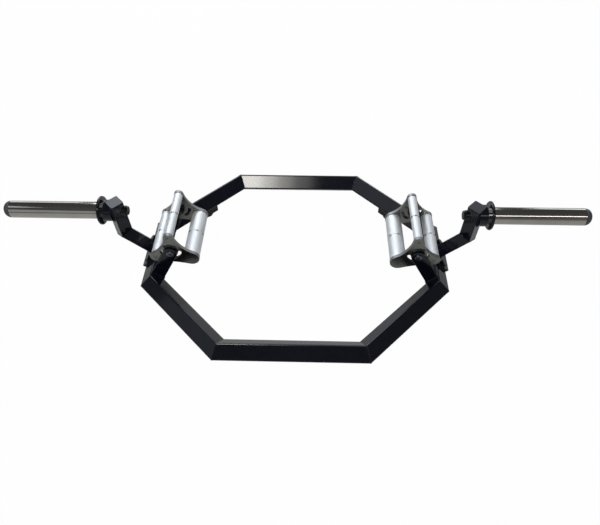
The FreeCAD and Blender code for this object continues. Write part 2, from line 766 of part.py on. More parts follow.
def lobe_plate(label, outer):
    """A three-lobed handle plate about its pivot, its screw heads let into the outer side."""
    centres = [Vector(value(x), value(y), 0) for x, y in LOBES.values()]
    radii = [value(f"{grip} / 2 + lobe_margin") for grip in LOBES]
    waist_centres = []
    for one, waist in enumerate(WAISTS):
        two = (one + 1) % 3
        span = centres[two] - centres[one]
        reach_one = value(waist) + radii[one]
        reach_two = value(waist) + radii[two]
        along = (reach_one ** 2 - reach_two ** 2 + span.Length ** 2) / (2 * span.Length)
        across = math.sqrt(reach_one ** 2 - along ** 2)
        course = span / span.Length
        waist_centres.append(centres[one] + course * along + Vector(course.y, -course.x, 0) * across)

    def heading(start, end):
        return math.atan2(end.y - start.y, end.x - start.x)

    body = new_body(label)
    shape = sketch_on(body, "XZ_Plane")
    lobes = []
    waists = []
    for index, centre in enumerate(centres):
        first = heading(centre, waist_centres[index - 1])
        last = heading(centre, waist_centres[index])
        circle = Part.Circle(centre, Z_AXIS, radii[index])
        lobes.append(shape.addGeometry(Part.ArcOfCircle(circle, first, last)))
    for index, centre in enumerate(waist_centres):
        first = heading(centre, centres[(index + 1) % 3])
        last = heading(centre, centres[index])
        circle = Part.Circle(centre, Z_AXIS, value(WAISTS[index]))
        waists.append(shape.addGeometry(Part.ArcOfCircle(circle, first, last)))
    for index, (grip, (x, y)) in enumerate(LOBES.items()):
        join(shape, "Tangent", lobes[index], 2, waists[index], 2)
        join(shape, "Tangent", waists[index], 1, lobes[(index + 1) % 3], 1)
        hold(shape, "DistanceX", x, -1, 1, lobes[index], 3)
        hold(shape, "DistanceY", y, -1, 1, lobes[index], 3)
        hold(shape, "Radius", f"{grip} / 2 + lobe_margin", lobes[index])
        hold(shape, "Radius", WAISTS[index], waists[index])
    blank = pad(body, shape, "plate_thickness", both_ways=True)
    outer_face = outer * value("plate_thickness / 2")
    soften(body, blank, "plate_bevel", lambda edge: math.isclose(edge.CenterOfMass.y, outer_face),
           "PartDesign::Chamfer")

    bore = sketch_on(body, "XZ_Plane")
    disc(bore, f"{PIVOT_BUSH} + 2 * seat_clearance")
    cut_through(body, bore)

    hole_sketch = sketch_on(body, "XZ_Plane")
    sink_sketch = sketch_on(body, "XZ_Plane", lift=f"-{outer} * plate_thickness / 2")
    for x, z in LOBES.values():
        disc(hole_sketch, "grip_screw_thread + 2 * hole_clearance", x, z)
        disc(sink_sketch, "grip_screw_head + 2 * hole_clearance", x, z)
    cut_through(body, hole_sketch)
    cut_in(body, sink_sketch, "grip_screw_head_height + grip_screw_sink", outer > 0)

    slot_sketch = sketch_on(body, "XZ_Plane")
    kidney(slot_sketch)
    slot = cut_through(body, slot_sketch)
    pattern = body.newObject("PartDesign::PolarPattern", "ThreeSlots")
    pattern.Originals = [slot]
    pattern.Axis = (slot_sketch, ["N_Axis"])
    pattern.Angle = 360
    pattern.Occurrences = len(LOBES)
    body.Tip = pattern
    return body


def kidney(sketch):
    """The outline of the slot that curves round the pivot under the top lobe."""
    middle = value("slot_circle")
    half_width = value("slot_width / 2")
    half_sweep = math.radians(value(SLOT_HALF_SWEEP))
    first = math.pi / 2 - half_sweep
    last = math.pi / 2 + half_sweep

    def arc(centre, radius, start, end):
        return sketch.addGeometry(Part.ArcOfCircle(Part.Circle(centre, Z_AXIS, radius), start, end))

    def end_centre(angle):
        return Vector(middle * math.cos(angle), middle * math.sin(angle), 0)

    outside = arc(Vector(), middle + half_width, first, last)
    inside = arc(Vector(), middle - half_width, first, last)
    right_end = arc(end_centre(first), half_width, first + math.pi, first + 2 * math.pi)
    left_end = arc(end_centre(last), half_width, last, last + math.pi)
    join(sketch, "Coincident", outside, 3, -1, 1)
    join(sketch, "Coincident", inside, 3, -1, 1)
    join(sketch, "Tangent", outside, 1, right_end, 2)
    join(sketch, "Tangent", outside, 2, left_end, 1)
    join(sketch, "Tangent", left_end, 2, inside, 2)
    join(sketch, "Tangent", inside, 1, right_end, 1)
    hold(sketch, "Radius", "slot_circle + slot_width / 2", outside)
    hold(sketch, "Radius", "slot_circle - slot_width / 2", inside)
    hold(sketch, "DistanceX", f"slot_circle * sin({SLOT_HALF_SWEEP})", -1, 1, right_end, 3)
    hold(sketch, "DistanceX", f"-slot_circle * sin({SLOT_HALF_SWEEP})", -1, 1, left_end, 3)


def make_grip(label, diameter):
    """A grip along Z with a turned ring at its middle and a tapped hole in each end."""
    half = "grip_length / 2"
    radius = f"{diameter} / 2"
    groove = f"({radius} - grip_ring_depth)"
    tapped = "(grip_screw_thread / 2 + seat_clearance)"
    bottom = f"({half} - grip_screw_length)"
    upper = [
        (radius, "grip_ring_width / 2"),
        (radius, f"{half} - grip_bevel"),
        (f"{radius} - grip_bevel", half),
        (tapped, half),
        (tapped, bottom),
        ("0", bottom),
    ]
    lower = [(r, f"-({z})") for r, z in reversed(upper)]
    body = new_body(label)
    turned(body, [*lower, (groove, "-grip_ring_width / 2"), (groove, "grip_ring_width / 2"), *upper])
    return body


def make_handle(name, side):
    """The turning cage of one handle, its top leaning inwards by a share of a turn about the pivot."""
    lean = f"(360 deg * {name}_handle_lean_share)"
    leaning = Rotation(Y_AXIS, -value(lean))
    outwards = {-1: leaning * Rotation(X_AXIS, 90), 1: leaning * Rotation(X_AXIS, -90)}
    lobes = {grip: (f"{PIVOT_X} + ({x}) * cos({lean}) - ({z}) * sin({lean})",
                    f"{PIVOT_HEIGHT} + ({x}) * sin({lean}) + ({z}) * cos({lean})")
             for grip, (x, z) in LOBES.items()}
    for end, sign in ENDS.items():
        outer = sign * side
        label = f"{name}_handle_{end}_plate"
        finish(label, lobe_plate(label, outer), PIVOT_X, f"{outer} * ({PLATE_OUTER} + {PLATE_INNER}) / 2",
               PIVOT_HEIGHT, leaning, side)
    for grip, (x, z) in lobes.items():
        label = f"{name}_{grip}"
        finish(label, make_grip(label, grip), x, "0", z, outwards[1], side)

    screw = socket_screw(
        f"{name}_grip_screw", "grip_screw_head", "grip_screw_head_height", "grip_screw_thread",
        "grip_screw_length - end_play", "grip_screw_socket", "grip_screw_socket_depth")
    seat = f"({PLATE_OUTER} - grip_screw_head_height - grip_screw_sink)"
    group(f"{name}_grip_screws", screw,
          [(x, f"{sign} * {seat}", z, turn, side)
           for sign, turn in outwards.items() for x, z in lobes.values()])

    bore = "(pivot_thread / 2 + running_clearance)"
    bush = new_body(f"{name}_pivot_bush")
    turned(bush, [
        (bore, "plate_thickness"),
        (bore, "-pivot_bush_flange_thickness"),
        ("pivot_bush_flange / 2", "-pivot_bush_flange_thickness"),
        ("pivot_bush_flange / 2", "0"),
        (f"{PIVOT_BUSH} / 2", "0"),
        (f"{PIVOT_BUSH} / 2", "plate_thickness"),
    ])
    group(f"{name}_pivot_bushes", bush,
          [(PIVOT_X, f"{sign} * {PLATE_INNER}", PIVOT_HEIGHT, turn, side) for sign, turn in outwards.items()])


def make_pivots():
    """Lugs welded to the side tubes, with the bolts, washers and nuts that the handles turn on."""
    outwards = {-1: Rotation(X_AXIS, 90), 1: Rotation(X_AXIS, -90)}
    for name, side in SIDES.items():
        for end, sign in ENDS.items():
            label = f"{name}_{end}_lug"
            finish(label, make_lug(label), PIVOT_X, f"{sign * side} * ({LUG_INNER} + {LUG_OUTER}) / 2",
                   PIVOT_HEIGHT, Rotation(), side)

    bolt = socket_screw(
        "pivot_bolt", "pivot_head", "pivot_head_height", "pivot_thread",
        f"{LUG_OUTER} - {PIVOT_NUT_FACE} + pivot_nut_height + thread_tail",
        "pivot_socket", "pivot_socket_depth")
    soften(bolt, bolt.Tip, "pivot_head_round", lambda edge: is_ring(edge, "pivot_head")
           and edge.CenterOfMass.z > value("pivot_head_height / 2"))
    washer = ring("pivot_washer", "(pivot_thread + 2 * seat_clearance)", "pivot_washer_diameter",
                  "pivot_washer_thickness")
    nut = hex_nut("pivot_nut", "pivot_nut_across", "pivot_nut_height", "pivot_thread")

    def at_every_pivot(label, piece, y, facing):
        group(label, piece, [(PIVOT_X, f"{sign} * {y}", PIVOT_HEIGHT, outwards[sign * facing], side)
                             for side in SIDES.values() for sign in outwards])

    at_every_pivot("pivot_bolts", bolt, LUG_OUTER, 1)
    at_every_pivot("pivot_washers", washer, f"({LUG_INNER} - pivot_washer_thickness)", 1)
    at_every_pivot("pivot_nuts", nut, PIVOT_NUT_FACE, -1)


def main():
    """Build every piece, test it and write one file for each node."""
    make_ring()
    make_feet()
    for name, side in SIDES.items():
        make_arm(name, side)
        make_sleeve(name, side)
        make_handle(name, side)
    make_arm_fasteners()
    make_sleeve_fasteners()
    make_pivots()
    doc.recompute()

    failed = [item.Label for item in doc.Objects if {"Invalid", "Error"} & set(item.State)]
    failed += [label for label, item in nodes.items() if item.Shape.isNull() or not item.Shape.isValid()]
    if failed:
        raise RuntimeError(f"These pieces did not build: {', '.join(failed)}")
    os.makedirs("parts", exist_ok=True)
    for label, item in nodes.items():
        item.Label = label
        item.Shape.exportStep(f"parts/{label}.step")
    print(f"{len(nodes)} nodes written")


main()
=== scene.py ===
"""Dressed trap bar: finishes, weld beads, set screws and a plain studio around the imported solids."""

from __future__ import annotations

import json
import logging
import math
from collections.abc import Sequence
from dataclasses import dataclass, replace
from enum import Enum

import bmesh
import bpy
from bmesh.types import BMesh, BMVert
from bpy.types import ID, Material, Node, NodeSocket, NodeTree, Object, World
from mathutils import Matrix, Vector


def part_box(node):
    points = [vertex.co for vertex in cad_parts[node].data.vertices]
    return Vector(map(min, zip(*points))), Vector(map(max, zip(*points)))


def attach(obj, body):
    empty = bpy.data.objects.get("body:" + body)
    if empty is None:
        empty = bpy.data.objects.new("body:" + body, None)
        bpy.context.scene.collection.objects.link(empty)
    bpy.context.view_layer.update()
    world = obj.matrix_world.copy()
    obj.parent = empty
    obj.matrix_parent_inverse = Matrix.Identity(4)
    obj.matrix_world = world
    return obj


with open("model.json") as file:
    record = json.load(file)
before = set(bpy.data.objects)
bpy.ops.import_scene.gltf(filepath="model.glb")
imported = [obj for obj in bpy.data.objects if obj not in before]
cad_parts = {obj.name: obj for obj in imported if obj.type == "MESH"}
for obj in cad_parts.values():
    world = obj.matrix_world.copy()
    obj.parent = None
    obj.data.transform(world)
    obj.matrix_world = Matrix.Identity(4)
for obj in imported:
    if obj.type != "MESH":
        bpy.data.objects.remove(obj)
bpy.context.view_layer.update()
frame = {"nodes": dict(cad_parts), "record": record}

LOG = logging.getLogger("trap_bar")
MM = 0.001
ROOT_HALF = math.sqrt(0.5)

# Sizes of the ring that several sub-assemblies start from
RING_HALF_WIDTH = 433.5 * MM
RING_TUBE = 50 * MM
RING_HEIGHT = 14 * MM + RING_TUBE * ROOT_HALF

# Half the turn at a mitred corner, in degrees
MITRE_ANGLE = 22.5

# The four quarters of the ring: side and its sign along X, end and its sign along Y
QUARTERS = tuple((side, across, end, along) for side, across in (("left", -1), ("right", 1))
                 for end, along in (("front", -1), ("rear", 1)))

# Refractive index of the coats, and how far a coat's drift goes from one for its full change of tone
COAT_IOR = 1.42
CLOUD_REACH = 0.2

Colour = tuple[float, float, float]
Point = tuple[float, float, float]
Fed = NodeSocket | float | Sequence[float]
Sockets = dict[str, NodeSocket]


class Slot(Enum):
    """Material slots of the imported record."""

    PAINT = "gloss_black_paint"
    PLATE = "satin_dark_plate"
    CHROME = "polished_chrome"
    GRIP = "satin_steel_grip"
    DARK = "dark_fastener"
    ZINC = "zinc_fastener"
    BRONZE = "bearing_bronze"
    RUBBER = "black_rubber"
    PLASTIC = "black_plastic"


class Side(Enum):
    """The two sides of the bar. The left one is the right one turned half round."""

    LEFT = "left"
    RIGHT = "right"

    @property
    def turn(self) -> Matrix:
        """The turn about the upright middle axis that takes the right side here."""
        return Matrix.Rotation(math.pi if self is Side.LEFT else 0.0, 4, "Z")


class Grip(Enum):
    """The three grips of a handle cage."""

    THIN = "thin_grip"
    MEDIUM = "medium_grip"
    FAT = "fat_grip"


class Tree:
    """A writer for one shader node tree."""

    def __init__(self, tree: NodeTree) -> None:
        """Takes an empty node tree."""
        self.tree = tree

    @staticmethod
    def of(owner: Material | World) -> Tree:
        """The emptied node tree of a material or of the room."""
        owner.use_nodes = True
        owner.node_tree.nodes.clear()
        return Tree(owner.node_tree)

    def feed(self, socket: NodeSocket, value: Fed) -> None:
        """Links a socket to another, or sets its value.

        Args:
            socket: The input to feed.
            value: A socket to link, or a plain value.
        """
        if isinstance(value, NodeSocket):
            self.tree.links.new(value, socket)
        elif socket.type == "RGBA":
            socket.default_value = (*value, 1.0)
        else:
            socket.default_value = value

    def node(self, kind: str, inputs: dict[str | int, Fed] | None = None, **settings: object) -> Node:
        """Adds a node.

        Args:
            kind: Type name of the node.
            inputs: What each named or numbered input gets.
            settings: Properties of the node.

        Returns:
            The new node.
        """
        made = self.tree.nodes.new(kind)
        for key, setting in settings.items():
            setattr(made, key, setting)
        for key, value in (inputs or {}).items():
            self.feed(made.inputs[key], value)
        return made

    def calc(self, operation: str, *terms: Fed, clamp: bool = False) -> NodeSocket:
        """A Math node of up to three terms, and its result."""
        made = self.node("ShaderNodeMath", dict(enumerate(terms)), operation=operation, use_clamp=clamp)
        return made.outputs[0]

    def times(self, first: Fed, second: Fed, clamp: bool = False) -> NodeSocket:
        """The product of two values."""
        return self.calc("MULTIPLY", first, second, clamp=clamp)

    def vector(self, operation: str, *terms: Fed) -> NodeSocket:
        """A Vector Math node, and its vector result, or its value for a dot product or a length."""
        made = self.node("ShaderNodeVectorMath", dict(enumerate(terms)), operation=operation)
        return made.outputs["Value" if operation in ("DOT_PRODUCT", "LENGTH") else "Vector"]

    def ease(self, value: Fed, low: float, high: float, start: float = 0.0,
             end: float = 1.0) -> NodeSocket:
        """A smooth step of a value from one range to another.

        Args:
            value: What is mapped.
            low: Value that gives start.
            high: Value that gives end.
            start: Result at and below low.
            end: Result at and above high.

        Returns:
            The mapped value.
        """
        made = self.node("ShaderNodeMapRange", {"Value": value, "From Min": low, "From Max": high,
                                                "To Min": start, "To Max": end},
                         interpolation_type="SMOOTHSTEP")
        return made.outputs["Result"]

    def blend(self, share: Fed, first: Fed, second: Fed) -> NodeSocket:
        """A colour between two others."""
        made = self.node("ShaderNodeMix", {0: share, 6: first, 7: second}, data_type="RGBA")
        return made.outputs[2]

    def noise(self, spot: Fed, scale: Fed, detail: float = 2.0) -> NodeSocket:
        """A noise value about one half."""
        made = self.node("ShaderNodeTexNoise", {"Vector": spot, "Scale": scale, "Detail": detail})
        return made.outputs["Fac"]

    def spot(self) -> NodeSocket:
        """The place on the piece, in its own frame, in metres."""
        return self.node("ShaderNodeTexCoord").outputs["Object"]

    def facing(self) -> NodeSocket:
        """The direction that the surface faces, in the piece's own frame."""
        return self.node("ShaderNodeTexCoord").outputs["Normal"]

    def effect(self, group: NodeTree, **inputs: Fed) -> Node:
        """Places a shared effect.

        Args:
            group: The effect's node group.
            inputs: Its inputs, with _ for spaces.

        Returns:
            The group node.
        """
        made = self.node("ShaderNodeGroup", node_tree=group)
        for key, value in inputs.items():
            self.feed(made.inputs[key.replace("_", " ")], value)
        return made


class Effects:
    """Shader node groups that several finishes share, each built once."""

    SOCKETS = {"float": "NodeSocketFloat", "vector": "NodeSocketVector"}

    def start(self, name: str, inputs: dict[str, str], outputs: Sequence[str]) -> tuple[Tree, Sockets, Sockets]:
        """Opens a new group.

        Args:
            name: Name of the group.
            inputs: Kind of each input by its name.
            outputs: Names of the outputs, which are plain values.

        Returns:
            The group's writer, its input sockets and its output sockets by name.
        """
        group = bpy.data.node_groups.new(name, "ShaderNodeTree")
        for key, kind in inputs.items():
            group.interface.new_socket(key, in_out="INPUT", socket_type=self.SOCKETS[kind])
        for key in outputs:
            group.interface.new_socket(key, in_out="OUTPUT", socket_type="NodeSocketFloat")
        tree = Tree(group)
        entry = group.nodes.new("NodeGroupInput")
        leave = group.nodes.new("NodeGroupOutput")
        return tree, {key: entry.outputs[key] for key in inputs}, {key: leave.inputs[key] for key in outputs}

    def __init__(self) -> None:
        """Builds every effect."""
        self.drift = self.make_drift()
        self.rub = self.make_rub()
        self.hairlines = self.make_hairlines()
        self.dust = self.make_dust()
        self.turning = self.make_turning()
        self.knurl = self.make_knurl()

    def make_drift(self) -> NodeTree:
        """Slow drift of a coat and its fine ripple.

        Returns:
            A group with a Value about one and a Height.
        """
        tree, given, put = self.start("Coat Drift",
                                      {"Scale": "float", "Amount": "float", "Peel Scale": "float"},
                                      ("Value", "Height"))
        spot = tree.spot()
        cloud = tree.calc("SUBTRACT", tree.noise(spot, given["Scale"], 3.0), 0.5)
        tree.feed(put["Value"], tree.calc("ADD", tree.times(cloud, given["Amount"]), 1.0))
        tree.feed(put["Height"], tree.noise(spot, given["Peel Scale"], 1.5))
        return tree.tree

    def make_rub(self) -> NodeTree:
        """Edges where a coat is rubbed thin.

        Returns:
            A group with a Mask that is one on worn edges.
        """
        tree, given, put = self.start("Edge Rub", {"Radius": "float", "Amount": "float"}, ("Mask",))
        rounded = tree.node("ShaderNodeBevel", {"Radius": given["Radius"]}, samples=4).outputs[0]
        true = tree.node("ShaderNodeNewGeometry").outputs["Normal"]
        turn = tree.calc("SUBTRACT", 1.0, tree.vector("DOT_PRODUCT", rounded, true))
        patchy = tree.ease(tree.noise(tree.spot(), 60.0, 3.0), 0.2, 0.65)
        worn = tree.times(tree.ease(turn, 0.02, 0.2), patchy)
        tree.feed(put["Mask"], tree.times(worn, given["Amount"], clamp=True))
        return tree.tree

    def make_hairlines(self) -> NodeTree:
        """Fine scratches drawn out along one direction.

        Returns:
            A group with a Mask and a Height.
        """
        tree, given, put = self.start("Hairlines", {"Stretch": "vector", "Amount": "float"}, ("Mask", "Height"))
        drawn = tree.vector("MULTIPLY", tree.spot(), given["Stretch"])
        grain = tree.noise(drawn, 1.0, 4.0)
        tree.feed(put["Mask"], tree.times(tree.ease(grain, 0.52, 0.72), given["Amount"]))
        tree.feed(put["Height"], grain)
        return tree.tree

    def make_dust(self) -> NodeTree:
        """Fine dust that settles on what faces up.

        Returns:
            A group with a Mask.
        """
        tree, given, put = self.start("Settled Dust", {"Amount": "float"}, ("Mask",))
        upward = tree.vector("DOT_PRODUCT", tree.facing(), (0.0, 0.0, 1.0))
        patchy = tree.ease(tree.noise(tree.spot(), 55.0, 5.0), 0.3, 0.75)
        settled = tree.times(tree.ease(upward, 0.2, 0.95), patchy)
        tree.feed(put["Mask"], tree.times(settled, given["Amount"], clamp=True))
        return tree.tree

    def make_turning(self) -> NodeTree:
        """Rings that a lathe tool or a grinding wheel leaves round an axis.

        Returns:
            A group with a Height.
        """
        tree, given, put = self.start("Turning Rings", {"Axis": "vector", "Lines": "float"}, ("Height",))
        along = tree.times(tree.vector("DOT_PRODUCT", tree.spot(), given["Axis"]), given["Lines"])
        rings = tree.node("ShaderNodeTexNoise", {"W": along, "Scale": 1.0, "Detail": 3.0},
                          noise_dimensions="1D")
        tree.feed(put["Height"], rings.outputs["Fac"])
        return tree.tree

    def make_knurl(self) -> NodeTree:
        """Diamond knurl round an axis along Y.

        Returns:
            A group with a Height that is zero in the grooves and one on the points.
        """
        tree, given, put = self.start("Diamond Knurl", {"Centre": "vector", "Rows": "float", "Pitch": "float"},
                                      ("Height",))
        place = tree.node("ShaderNodeSeparateXYZ", {0: tree.vector("SUBTRACT", tree.spot(), given["Centre"])})
        angle = tree.calc("ARCTAN2", place.outputs["Z"], place.outputs["X"])
        around = tree.times(tree.calc("DIVIDE", angle, math.tau), given["Rows"])
        along = tree.calc("DIVIDE", place.outputs["Y"], given["Pitch"])
        flanks = [tree.calc("PINGPONG", tree.calc(way, around, along), 0.5) for way in ("ADD", "SUBTRACT")]
        tree.feed(put["Height"], tree.times(tree.calc("MINIMUM", *flanks), 2.0))
        return tree.tree


@dataclass(frozen=True)
class Look:
    """What a finish shows close up: colour, roughness, and relief with its depth in metres."""

    colour: NodeSocket
    roughness: NodeSocket
    height: NodeSocket
    depth: float


@dataclass(frozen=True)
class Finish:
    """A surface finish, made into one material, with its main colour and mean roughness."""

    name: str
    colour: Colour
    roughness: float
    metallic: float = 0.0

    def material(self, effects: Effects) -> Material:
        """Makes the material.

        Args:
            effects: The shared effects.

        Returns:
            The finished material.
        """
        made = bpy.data.materials.new(self.name)
        tree = Tree.of(made)
        shader = tree.node("ShaderNodeBsdfPrincipled", {"Base Color": self.colour, "Roughness": self.roughness,
                                                        "Metallic": self.metallic, "IOR": COAT_IOR})
        tree.node("ShaderNodeOutputMaterial", {"Surface": shader.outputs[0]})
        look = self.dress(tree, effects)
        bump = tree.node("ShaderNodeBump", {"Height": look.height, "Distance": look.depth, "Strength": 1.0})
        tree.feed(shader.inputs["Base Color"], look.colour)
        tree.feed(shader.inputs["Roughness"], look.roughness)
        tree.feed(shader.inputs["Normal"], bump.outputs[0])
        return made

    def dress(self, tree: Tree, effects: Effects) -> Look:
        """Works out what the surface shows close up.

        Args:
            tree: The material's writer.
            effects: The shared effects.

        Returns:
            The look.
        """
        raise NotImplementedError

    def shaded(self, share: float) -> Colour:
        """The main colour, darker or lighter by a share."""
        return tuple(part * share for part in self.colour)

    def clouded(self, tree: Tree, coat: Node, dark: float, light: float) -> NodeSocket:
        """The main colour, drifting with its coat between a dark and a light share."""
        cloud = tree.ease(coat.outputs["Value"], 1.0 - CLOUD_REACH, 1.0 + CLOUD_REACH)
        return tree.blend(cloud, self.shaded(dark), self.shaded(light))

    def glossed(self, tree: Tree, coat: Node) -> NodeSocket:
        """The mean roughness, drifting with its coat."""
        return tree.times(coat.outputs["Value"], self.roughness)


@dataclass(frozen=True)
class GlossPaint(Finish):
    """Baked gloss coat with a faint orange peel, dust and rubbed edges."""

    bare: Colour = (0.075, 0.085, 0.11)
    peel: float = 0.008 * MM
    dust: float = 0.008
    dust_colour: Colour = (0.34, 0.33, 0.31)
    dust_roughness: float = 0.9

    def dress(self, tree: Tree, effects: Effects) -> Look:
        """Peel, dust and rubbed edges. See Finish.dress."""
        coat = tree.effect(effects.drift, Scale=9.0, Amount=0.5, Peel_Scale=420.0)
        rub = tree.effect(effects.rub, Radius=2.2 * MM, Amount=0.6).outputs["Mask"]
        dust = tree.effect(effects.dust, Amount=self.dust).outputs["Mask"]
        worn = tree.blend(rub, self.clouded(tree, coat, 0.8, 1.25), self.bare)
        rough = tree.calc("ADD", self.glossed(tree, coat), tree.times(dust, self.dust_roughness))
        return Look(tree.blend(dust, worn, self.dust_colour), rough, coat.outputs["Height"], self.peel)


@dataclass(frozen=True)
class BrushedPlate(Finish):
    """Flat plate brushed along one way, with a painted highlight on its cut edges and painted shade on the
    walls of its slots.

    Attributes:
        stretch: How fine the brush lines are along each axis.
        pivot: A point on the axis that the slots lie round.
        slot_reach: How far the slots reach from that axis.
        slot_fade: How soon past that reach the painted shade of their walls ends.
        slot_shade: Share of the main colour on those walls, as painted shade.
        face_from: How squarely a spot faces along Y where the cut edge begins to give way to the face.
        face_full: The same where the face is whole.
    """

    # Colour of rubbed edges, which is wear, and of the cut edges, where it is a painted highlight
    edge: Colour = (0.3, 0.3, 0.3)
    edge_roughness: float = 0.5
    stretch: Point = (60.0, 900.0, 900.0)
    line_depth: float = 0.03 * MM
    pivot: Point = (0.0, 0.0, 0.0)
    slot_reach: float = 32.3 * MM
    slot_fade: float = 0.4 * MM
    slot_shade: float = 0.12
    face_from: float = 0.35
    face_full: float = 0.9

    def dress(self, tree: Tree, effects: Effects) -> Look:
        """Brush lines, a painted highlight on the cut edges, painted shade on the slot walls and light rubbing.
        See Finish.dress.
        """
        lines = tree.effect(effects.hairlines, Stretch=self.stretch, Amount=0.35)
        coat = tree.effect(effects.drift, Scale=22.0, Amount=0.6, Peel_Scale=300.0)
        rub = tree.effect(effects.rub, Radius=1.2 * MM, Amount=0.6).outputs["Mask"]
        flat = tree.calc("ABSOLUTE", tree.vector("DOT_PRODUCT", tree.facing(), (0.0, 1.0, 0.0)))
        lined = tree.blend(lines.outputs["Mask"], self.clouded(tree, coat, 0.85, 1.15), self.shaded(1.6))
        # Walls of the slots, within reach of the pivot axis, take a painted shade
        reach = tree.vector("MULTIPLY", tree.vector("SUBTRACT", tree.spot(), self.pivot), (1.0, 0.0, 1.0))
        past = tree.ease(tree.vector("LENGTH", reach), self.slot_reach, self.slot_reach + self.slot_fade)
        wall = tree.blend(past, self.shaded(self.slot_shade), self.edge)
        # Faces turned away from Y get the painted edge highlight, or the painted slot shade near the pivot
        cut = tree.blend(tree.ease(flat, self.face_from, self.face_full), wall, lined)
        gloss = tree.ease(flat, self.face_from, self.face_full, self.edge_roughness, self.roughness)
        return Look(tree.blend(rub, cut, self.edge), tree.times(coat.outputs["Value"], gloss),
                    lines.outputs["Height"], self.line_depth)


@dataclass(frozen=True)
class TurnedMetal(Finish):
    """Turned and polished, ground or plated metal with fine rings round its axis.

    Attributes:
        lines: Rings to a metre.
        along: How fine the hairlines are along the axis.
        across: How fine they are across it.
    """

    axis: Point = (1.0, 0.0, 0.0)
    lines: float = 1500.0
    depth: float = 0.002 * MM
    haze: float = 0.5
    along: float = 40.0
    across: float = 700.0

    def dress(self, tree: Tree, effects: Effects) -> Look:
        """Turning rings, hairlines and a light haze. See Finish.dress."""
        rings = tree.effect(effects.turning, Axis=self.axis, Lines=self.lines).outputs["Height"]
        coat = tree.effect(effects.drift, Scale=14.0, Amount=self.haze, Peel_Scale=250.0)
        stretch = tuple(self.along if part else self.across for part in self.axis)
        lines = tree.effect(effects.hairlines, Stretch=stretch, Amount=0.25).outputs["Mask"]
        tone = tree.blend(lines, self.clouded(tree, coat, 0.9, 1.08), self.shaded(0.78))
        rough = tree.calc("ADD", self.glossed(tree, coat), tree.times(lines, 0.12))
        return Look(tone, rough, rings, self.depth)


@dataclass(frozen=True)
class KnurledGrip(Finish):
    """Satin plated grip along Y through its centre, with a fine diamond knurl."""

    centre: Point = (0.0, 0.0, 0.0)
    radius: float = 20 * MM
    pitch: float = 1.6 * MM
    depth: float = 0.09 * MM

    def dress(self, tree: Tree, effects: Effects) -> Look:
        """Knurl, painted shade in its grooves and polish where hands hold. See Finish.dress."""
        rows = float(round(math.tau * self.radius / self.pitch))
        knurl = tree.effect(effects.knurl, Centre=self.centre, Rows=rows, Pitch=self.pitch).outputs["Height"]
        coat = tree.effect(effects.drift, Scale=30.0, Amount=0.4, Peel_Scale=200.0)
        # The grooves of the knurl take a darker colour: painted shade
        points = tree.blend(tree.ease(knurl, 0.05, 0.4), self.shaded(0.72), self.colour)
        held = tree.ease(coat.outputs["Value"], 0.85, 1.15)
        return Look(tree.blend(held, points, self.shaded(0.93)), self.glossed(tree, coat), knurl, self.depth)


@dataclass(frozen=True)
class PlatedFastener(Finish):
    """Small plated or blackened fastener, brighter on its rubbed edges: wear, and on the pivot bolts mostly a
    painted glint.
    """

    bare: Colour = (0.35, 0.35, 0.36)
    depth: float = 0.02 * MM

    def dress(self, tree: Tree, effects: Effects) -> Look:
        """Uneven plating and rubbed edges. See Finish.dress."""
        coat = tree.effect(effects.drift, Scale=130.0, Amount=0.8, Peel_Scale=1500.0)
        rub = tree.effect(effects.rub, Radius=0.7 * MM, Amount=0.7).outputs["Mask"]
        tone = tree.blend(rub, self.clouded(tree, coat, 0.75, 1.25), self.bare)
        return Look(tone, self.glossed(tree, coat), coat.outputs["Height"], self.depth)


@dataclass(frozen=True)
class MouldedBlack(Finish):
    """Moulded rubber or plastic with a fine grain and a little dust."""

    grain: float = 1800.0
    depth: float = 0.06 * MM
    dust: float = 0.05
    dust_colour: Colour = (0.3, 0.29, 0.27)

    def dress(self, tree: Tree, effects: Effects) -> Look:
        """Moulded grain, scuffs and dust. See Finish.dress."""
        coat = tree.effect(effects.drift, Scale=45.0, Amount=0.5, Peel_Scale=self.grain)
        dust = tree.effect(effects.dust, Amount=self.dust).outputs["Mask"]
        scuff = tree.effect(effects.hairlines, Stretch=(260.0, 90.0, 260.0), Amount=0.3).outputs["Mask"]
        scuffed = tree.blend(scuff, self.clouded(tree, coat, 0.85, 1.2), self.shaded(2.0))
        tone = tree.blend(dust, scuffed, self.dust_colour)
        return Look(tone, self.glossed(tree, coat), coat.outputs["Height"], self.depth)


def add_object(name: str, data: ID) -> Object:
    """Adds a new object to the scene."""
    made = bpy.data.objects.new(name, data)
    bpy.context.scene.collection.objects.link(made)
    return made


